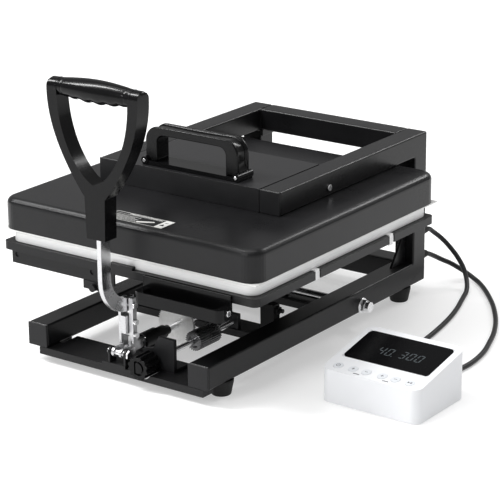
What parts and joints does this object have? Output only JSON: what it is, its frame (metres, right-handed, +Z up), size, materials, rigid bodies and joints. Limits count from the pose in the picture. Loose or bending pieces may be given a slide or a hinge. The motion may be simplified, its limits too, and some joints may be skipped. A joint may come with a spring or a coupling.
{
  "type": "tabletop heat press",
  "caption": "Tabletop drawer heat press: tube frame with a padded platen raised by a toggle lever against a fixed heated head, pressure gears and a wired control box.",
  "frame": {"origin": "on the table, centred between the four rubber feet", "axes": "+X right, +Y to the rear, +Z up"},
  "size_m": [0.61, 0.6425, 0.4085],
  "materials": {
    "black_powder_coat": "satin powder coat",
    "black_plate": "satin powder coat",
    "bright_steel": "bright plated",
    "zinc_steel": "zinc plated",
    "dark_steel": "oiled",
    "lever_steel": "brushed",
    "platen_aluminium": "machined",
    "pale_plate": "satin",
    "silicone_pad": "matt",
    "insulation": "matt",
    "black_grip": "gloss",
    "black_plastic": "matt",
    "black_rubber": "matt",
    "white_plastic": "fine texture",
    "key_plastic": "matt",
    "display_glass": "gloss",
    "board_green": "satin",
    "cable_black": "matt"
  },
  "bodies": {
    "frame": {"left_side_frame": "black_powder_coat", "right_side_frame": "black_powder_coat", "rear_bars": "black_powder_coat", "frame_gussets": "black_powder_coat", "cross_plates": "black_plate", "tube_end_caps": "black_plastic", "rubber_feet": "black_rubber", "top_cover": "black_plate", "carry_handle": "black_grip", "carry_handle_base": "black_grip", "cover_screws": "bright_steel", "heat_head_cover": "black_powder_coat", "head_base_plate": "pale_plate", "head_insulation": "insulation", "heating_platen": "platen_aluminium", "temperature_probe": "bright_steel", "head_mounting_bolts": "zinc_steel", "lift_shafts": "bright_steel", "shaft_nuts": "bright_steel", "pivot_brackets": "black_plate", "clamp_base": "black_plate", "clamp_bolts": "bright_steel", "shaft_bearing_plates": "black_plastic", "control_box_base": "white_plastic", "control_box_cover": "white_plastic", "circuit_board": "board_green", "display_panel": "display_glass", "box_feet": "black_rubber", "cable_glands": "black_rubber", "power_inlet": "black_plastic", "heater_cable": "cable_black", "sensor_cable": "cable_black"},
    "press_lever": {"lever_plates": "lever_steel", "lever_arm": "lever_steel", "d_handle": "black_grip", "lever_bolts": "bright_steel"},
    "toggle_link": {"toggle_link": "zinc_steel"},
    "push_rod": {"push_rod": "bright_steel"},
    "drive_gear": {"drive_gear": "zinc_steel"},
    "pressure_knob": {"pressure_knob": "black_grip", "pinion_shaft": "bright_steel", "pinion": "dark_steel"},
    "front_links": {"front_lift_links": "zinc_steel"},
    "rear_links": {"rear_lift_links": "zinc_steel"},
    "carriage": {"carriage_frame": "black_plate", "carriage_pins": "zinc_steel", "drawer_slide_outer": "zinc_steel"},
    "drawer": {"tray": "black_powder_coat", "pressing_pad": "silicone_pad", "pad_straps": "silicone_pad", "tray_bracket": "black_plate", "pull_handle": "black_grip", "pull_handle_screws": "bright_steel", "drawer_slide_inner": "zinc_steel"},
    "key_power": {"key_power": "key_plastic"},
    "key_time_up": {"key_time_up": "key_plastic"},
    "key_time_down": {"key_time_down": "key_plastic"},
    "key_temp_up": {"key_temp_up": "key_plastic"},
    "key_temp_down": {"key_temp_down": "key_plastic"},
    "key_start": {"key_start": "key_plastic"}
  },
  "joints": [
    {"name": "lever_swing", "type": "hinge", "parent": "frame", "child": "press_lever", "pos_m": [0, -0.254, 0.039], "axis": [1, 0, 0], "range_deg": [0, 60]},
    {"name": "link_pivot", "type": "hinge", "parent": "press_lever", "child": "toggle_link", "pos_m": [0, -0.234, 0.039], "axis": [1, 0, 0], "range_deg": [-90, 0]},
    {"name": "rod_slide", "type": "slide", "parent": "frame", "child": "push_rod", "axis": [0, -1, 0], "range_m": [0, 0.0147]},
    {"name": "gear_turn", "type": "hinge", "parent": "push_rod", "child": "drive_gear", "pos_m": [0, -0.13, 0.039], "axis": [0, 1, 0], "continuous": true},
    {"name": "knob_turn", "type": "hinge", "parent": "frame", "child": "pressure_knob", "pos_m": [0.04217, -0.13, 0.0306], "axis": [0, 1, 0], "continuous": true},
    {"name": "front_link_swing", "type": "hinge", "parent": "frame", "child": "front_links", "pos_m": [0, -0.044, 0.03], "axis": [1, 0, 0], "range_deg": [0, 38.05]},
    {"name": "rear_link_swing", "type": "hinge", "parent": "frame", "child": "rear_links", "pos_m": [0, 0.095, 0.03], "axis": [1, 0, 0], "range_deg": [0, 38.05]},
    {"name": "carriage_lift", "type": "hinge", "parent": "front_links", "child": "carriage", "pos_m": [0, -0.06591, 0.06129], "axis": [1, 0, 0], "range_deg": [-38.05, 0]},
    {"name": "drawer_pull", "type": "slide", "parent": "carriage", "child": "drawer", "axis": [0, -1, 0], "range_m": [0, 0.022]},
    {"name": "key_power_press", "type": "slide", "parent": "frame", "child": "key_power", "axis": [0, 0.1895, -0.9819], "range_m": [0, 0.0007], "stiffness_N_per_m": 600},
    {"name": "key_time_up_press", "type": "slide", "parent": "frame", "child": "key_time_up", "axis": [0, 0.1895, -0.9819], "range_m": [0, 0.0007], "stiffness_N_per_m": 600},
    {"name": "key_time_down_press", "type": "slide", "parent": "frame", "child": "key_time_down", "axis": [0, 0.1895, -0.9819], "range_m": [0, 0.0007], "stiffness_N_per_m": 600},
    {"name": "key_temp_up_press", "type": "slide", "parent": "frame", "child": "key_temp_up", "axis": [0, 0.1895, -0.9819], "range_m": [0, 0.0007], "stiffness_N_per_m": 600},
    {"name": "key_temp_down_press", "type": "slide", "parent": "frame", "child": "key_temp_down", "axis": [0, 0.1895, -0.9819], "range_m": [0, 0.0007], "stiffness_N_per_m": 600},
    {"name": "key_start_press", "type": "slide", "parent": "frame", "child": "key_start", "axis": [0, 0.1895, -0.9819], "range_m": [0, 0.0007], "stiffness_N_per_m": 600}
  ],
  "couplings": [
    {"joint": "link_pivot", "follows": "lever_swing", "ratio": -1.494},
    {"joint": "rod_slide", "follows": "lever_swing", "m_per_rad": 0.013942},
    {"joint": "front_link_swing", "follows": "lever_swing", "ratio": 0.63333},
    {"joint": "rear_link_swing", "follows": "lever_swing", "ratio": 0.63333},
    {"joint": "carriage_lift", "follows": "lever_swing", "ratio": -0.63333},
    {"joint": "gear_turn", "follows": "knob_turn", "ratio": -0.43333}
  ]
}
